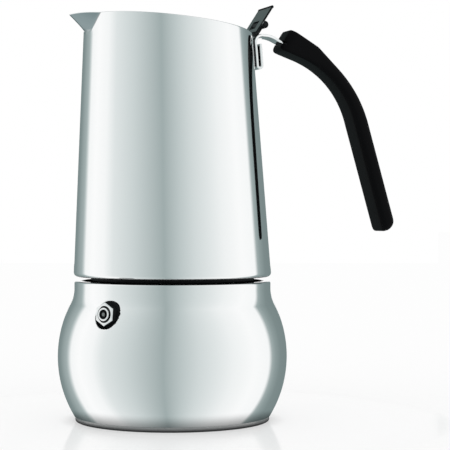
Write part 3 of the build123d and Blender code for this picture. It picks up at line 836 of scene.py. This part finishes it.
# the lid's own frame: its middle in the rim plane, its z square to that plane
def lidPlace():
    x = jugMiddle(rimMid)
    slope = jug["rimSlope"]
    return seat((x, 0, rimHeight(x)), (slope, 0, 1), (1, 0, -slope))


# a round bar or tube across the pot, through the hinge
def hingeTurned(outline, closed):
    place = seat((tab["hingeX"], 0, tab["hingeZ"]), (0, 1, 0), (1, 0, 0))
    grid = carry(turnedGrid(outline, evenTurns(pin["turns"])), place)
    return grid, gridFaces(pin["turns"], len(outline), True, closed)


# the tab: a strip from the lid up past the hinge with a bead at its tip, a slot, and a tube at each side of the slot
def makeTab():
    t = tab
    origin, axes = lidPlace()
    level = t["thick"] / 2 - lid["drop"]
    heelX = lid["radius"] - t["inset"]
    toe, heel = ((origin + axes @ np.array((x, 0, level)))[[0, 2]] for x in (heelX - t["foot"], heelX))
    corners = [toe, heel, tabPoint(-t["down"], t["offset"]), tabPoint(t["up"] + t["bead"], t["offset"])]
    line = softCorners(corners, t["bend"], t["bendRows"], closed=False)
    line = atShares(line, endShares(distances(line)[-1], t["edge"], t["edge"], t["stations"]))
    far = distances(line)
    away = far - (far[-1] - t["bead"])
    bead = np.sqrt(np.clip(t["bead"] ** 2 - away ** 2, 0, None))
    pull = endPull(line, t["edge"], t["edge"])
    half = np.maximum(np.maximum(t["thick"] / 2 - pull, bead), thinnest)
    plate = sweepGrid(line, squareTo(line), half, t["half"] - pull, t["edge"])
    tubes = [hingeTurned(softCorners([(t["bore"], a), (t["knuckle"], a), (t["knuckle"], b), (t["bore"], b)],
                                     t["knuckleRounds"]), True)
             for a, b in ((-t["half"], -t["slotHalf"]), (t["slotHalf"], t["half"]))]
    # painted shade: dark marks on the sheet's edges, on its bead and on the tubes, standing in for shade and dark
    # reflections
    side = ease(t["half"] - t["sideBare"], t["half"] - t["sideDark"], np.abs(plate[0][..., 1]))
    tipward = ease(far[-1] - t["beadBare"] * t["bead"], far[-1] - t["beadDark"] * t["bead"], far)
    tipward = np.concatenate(([0], tipward, [1]))[:, None]
    tubePoints = sum(tube[0][..., 0].size for tube in tubes)
    shade = np.concatenate((np.maximum(side, tipward).ravel(), np.ones(tubePoints)))
    piece = putMesh("thumbTab", *joinGrids([plate, *tubes]), t["sharp"], shade=shade)
    low, high, under, over = t["slotLow"], t["slotHigh"], t["slotUnder"], t["slotOver"]
    slot = [tabPoint(*spot) for spot in ((low, under), (high, under), (high, over), (low, over))]
    carve(piece, slot, 2 * t["slotHalf"], t["sharp"])
    finishPiece(piece, "lid_tab", "lid", "dark_steel")


def makePin():
    low, high = span("hinge_pin")
    radius = (high[0] - low[0]) / 2
    outline = softCorners([(0, low[1]), (radius, low[1]), (radius, high[1]), (0, high[1])],
                          pin["round"], pin["roundRows"], closed=False)
    piece = putMesh("hingeBar", *hingeTurned(outline, False), pin["sharp"])
    # painted shade: the hinge bar is near-black, as shade inside the tubes of the tab
    finishPiece(piece, "hinge_pin", "jug", "polished_steel", paintedShadeSteel)


# the lid: a raised panel, a flat margin and a skirt, all corners softened
def makeLid():
    d = lid
    top, under = -d["drop"], -d["drop"] - d["wall"]
    skirtLow, inner = top - d["skirt"], d["radius"] - d["wall"]
    corners = [(0, under + d["rise"]), (d["panel"] - d["wall"], under + d["rise"]), (d["panel"], under),
               (inner, under), (inner, skirtLow), (d["radius"], skirtLow), (d["radius"], top),
               (d["panel"] + d["wall"], top), (d["panel"], top + d["rise"]), (0, top + d["rise"])]
    rounds = [d["panelRound"]] * 2 + [d["skirtRound"]] * 3 + [d["rimRound"]] + [d["panelRound"]] * 2
    line = softCorners(corners, rounds, closed=False)
    piece = turned("insetLid", line, d["turns"], place=lidPlace(), sharp=d["sharp"])
    finishPiece(piece, "lid_disc", "lid", "polished_steel")


makeStrap()
makeTab()
makePin()
makeLid()
print("strap, hinge and lid made")


# the CAD nodes that stay take the finer materials
for name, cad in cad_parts.items():
    if not cad.hide_render:
        for index, held in enumerate(cad.data.materials):
            cad.data.materials[index] = skins[held.name.split(".")[0]]
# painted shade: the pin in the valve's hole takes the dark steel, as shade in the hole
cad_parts["valve_plunger"].data.materials[0] = skins["dark_steel"]  # the pin in the valve's hole is grey
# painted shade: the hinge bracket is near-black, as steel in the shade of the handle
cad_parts["hinge_bracket"].data.materials[0] = paintedShadeSteel
print("CAD nodes dressed")


# studio

studio = dict(cameraTurn=251.4, screenRadius=2500.0, screenRows=49, screenTurns=96, screenSharp=60, strength=1.08,
              redLeast=0.66, redCurve=0.7, floorSize=6000.0, floorColour=(0.97, 0.97, 0.97, 1), floorRough=0.1,
              floorGlow=0.5, gloss=0.18, glossFull=75.0, glossEnd=130.0, ringDark=44.0, ringClear=54.0,
              ringDepth=0.72, ringBeyond=2.0, ringLift=0.03, ringColour=(0.01, 0.01, 0.01, 1), cardAway=2200.0,
              cardWide=1000.0, cardTall=450.0)
# how bright the light screen is by the turn round it, in soft steps
screenStops = (
    (-180, 0.2), (-150, 0.27), (-130, 0.43), (-126, 0.58), (-120, 0.94), (-105, 0.99), (-86, 0.94), (-72, 0.79),
    (-46, 0.66), (-9, 0.42), (10, 0.58), (26, 0.7), (46, 0.81), (62, 0.9), (88, 0.98), (111, 0.95), (117, 0.42),
    (124, 0.33), (136, 0.26), (180, 0.22),
)
camera = dict(sensor=36.0, lens=124.69, shiftX=-0.0046, shiftY=-0.0296, spot=(-0.2306, -0.6852, 0.0963),
              turn=(90, -0.092, -20.595))


# hides a piece from some kinds of ray
def hideFrom(piece, *rays):
    for ray in rays:
        setattr(piece, "visible_" + ray, False)


# a value that falls with the distance from the pot's middle on the floor: full inside, none past the second radius
def nearFade(tree, full, none, level):
    spot = node(tree, "ShaderNodeTexCoord", (-600, 0))
    away = node(tree, "ShaderNodeVectorMath", (-400, 0), operation="LENGTH")
    fade = node(tree, "ShaderNodeMapRange", (-200, 0), interpolation_type="SMOOTHSTEP")
    setInputs(fade, {"From Min": none * mm, "From Max": full * mm, "To Max": level})
    tree.links.new(spot.outputs["Object"], away.inputs[0])
    tree.links.new(away.outputs["Value"], fade.inputs["Value"])
    return fade.outputs["Result"]


# the light screen round the pot, seen by reflections only
def makeScreen():
    s = studio
    profile = arc(0, 0, s["screenRadius"], -90, 90, s["screenRows"])
    piece = turned("lightScreen", profile, s["screenTurns"], sharp=s["screenSharp"])
    made, tree, out = bareMaterial("lightScreenSkin")
    glow = node(tree, "ShaderNodeEmission", (600, 0))
    glow.inputs["Strength"].default_value = s["strength"]
    spot = node(tree, "ShaderNodeTexCoord", (-800, 0))
    turnBack = node(tree, "ShaderNodeMapping", (-600, 0))
    turnBack.inputs["Rotation"].default_value[2] = -math.radians(s["cameraTurn"])
    parts = node(tree, "ShaderNodeSeparateXYZ", (-400, 0))
    angle = node(tree, "ShaderNodeMath", (-200, 0), operation="ARCTAN2")
    share = node(tree, "ShaderNodeMapRange", (0, 0))
    setInputs(share, {"From Min": -math.pi, "From Max": math.pi})
    ramp = node(tree, "ShaderNodeValToRGB", (200, 0))
    stops = ramp.color_ramp.elements
    while len(stops) < len(screenStops):
        stops.new(0.5)
    for stop, (turn, level) in zip(stops, screenStops):
        red = s["redLeast"] + (1 - s["redLeast"]) * level ** s["redCurve"]  # the dimmer, the greener
        stop.position = (turn + 180) / 360
        stop.color = (level * red, level, level, 1)
    link = tree.links.new
    link(spot.outputs["Object"], turnBack.inputs["Vector"])
    link(turnBack.outputs["Vector"], parts.inputs["Vector"])
    link(parts.outputs["Y"], angle.inputs[0])
    link(parts.outputs["X"], angle.inputs[1])
    link(angle.outputs[0], share.inputs["Value"])
    link(share.outputs["Result"], ramp.inputs["Fac"])
    link(ramp.outputs["Color"], glow.inputs["Color"])
    link(glow.outputs["Emission"], out.inputs["Surface"])
    piece.data.materials.append(made)
    hideFrom(piece, "camera", "diffuse", "shadow")
    return piece


# the floor: glossy near the pot only, and part of what the camera sees of it is its own glow
def makeFloor():
    s = studio
    size = s["floorSize"]
    grid = np.array([[(-size, -size, 0), (-size, size, 0)], [(size, -size, 0), (size, size, 0)]])
    piece = putMesh("studioFloor", grid, gridFaces(2, 2, False, False))
    made, tree, skin = newMaterial("studioFloorSkin")
    setInputs(skin, {"Base Color": s["floorColour"], "Roughness": s["floorRough"]})
    glow = node(tree, "ShaderNodeEmission", (400, 300))
    path = node(tree, "ShaderNodeLightPath", (100, 500))
    part = node(tree, "ShaderNodeMath", (250, 500), operation="MULTIPLY")
    part.inputs[1].default_value = s["floorGlow"]
    mix = node(tree, "ShaderNodeMixShader", (600, 200))
    link = tree.links.new
    link(nearFade(tree, s["glossFull"], s["glossEnd"], s["gloss"]), skin.inputs["Specular IOR Level"])
    link(path.outputs["Is Camera Ray"], part.inputs[0])
    link(part.outputs[0], mix.inputs[0])
    link(skin.outputs["BSDF"], mix.inputs[1])
    link(glow.outputs["Emission"], mix.inputs[2])
    link(mix.outputs["Shader"], tree.nodes["Material Output"].inputs["Surface"])
    piece.data.materials.append(made)
    hideFrom(piece, "glossy")
    return piece


# painted shadow: a dark disc for the contact shadow round the pot's foot, seen by reflections only: dark inside,
# clear past the second radius
def makeContact():
    s = studio
    edge = s["ringClear"] + s["ringBeyond"]
    piece = turned("contactShade", [(0, s["ringLift"]), (edge, s["ringLift"])], s["screenTurns"])
    made, tree, out = bareMaterial("contactShadeSkin")
    clear = node(tree, "ShaderNodeBsdfTransparent", (200, 100))
    black = node(tree, "ShaderNodeBsdfDiffuse", (200, -200))
    black.inputs["Color"].default_value = s["ringColour"]
    mix = node(tree, "ShaderNodeMixShader", (400, 0))
    link = tree.links.new
    link(nearFade(tree, s["ringDark"], s["ringClear"], s["ringDepth"]), mix.inputs[0])
    link(clear.outputs["BSDF"], mix.inputs[1])
    link(black.outputs["BSDF"], mix.inputs[2])
    link(mix.outputs["Shader"], out.inputs["Surface"])
    piece.data.materials.append(made)
    hideFrom(piece, "camera", "diffuse", "shadow")
    return piece


# a white card behind the pot, a little wider than the picture
def makeCard():
    s = studio
    away = math.radians(s["cameraTurn"] + 180)
    back = np.array((math.cos(away), math.sin(away), 0))
    side = np.array((-back[1], back[0], 0)) * s["cardWide"] / 2
    foot = back * s["cardAway"]
    up = np.array((0, 0, s["cardTall"]))
    grid = np.array([[foot - side, foot + side], [foot - side + up, foot + side + up]])
    piece = putMesh("whiteCard", grid, gridFaces(2, 2, False, False))
    made, tree, out = bareMaterial("whiteCardSkin")
    glow = node(tree, "ShaderNodeEmission", (0, 0))
    tree.links.new(glow.outputs["Emission"], out.inputs["Surface"])
    piece.data.materials.append(made)
    hideFrom(piece, "diffuse", "shadow")
    return piece


def makeWorld():
    world = bpy.data.worlds.new("studioWorld")
    bpy.context.scene.world = world
    world.use_nodes = True
    setInputs(world.node_tree.nodes["Background"], {"Color": (1, 1, 1, 1), "Strength": 1.0})


def makeCamera():
    c = camera
    made = bpy.data.cameras.new("photoCamera")
    made.sensor_width, made.lens = c["sensor"], c["lens"]
    made.shift_x, made.shift_y = c["shiftX"], c["shiftY"]
    piece = bpy.data.objects.new("photoCamera", made)
    piece.location = c["spot"]
    piece.rotation_euler = np.radians(c["turn"])
    bpy.context.collection.objects.link(piece)
    bpy.context.scene.camera = piece


makeScreen()
makeFloor()
makeContact()
makeCard()
makeWorld()
makeCamera()
bpy.context.scene.view_settings.view_transform = "Standard"
print("studio set")
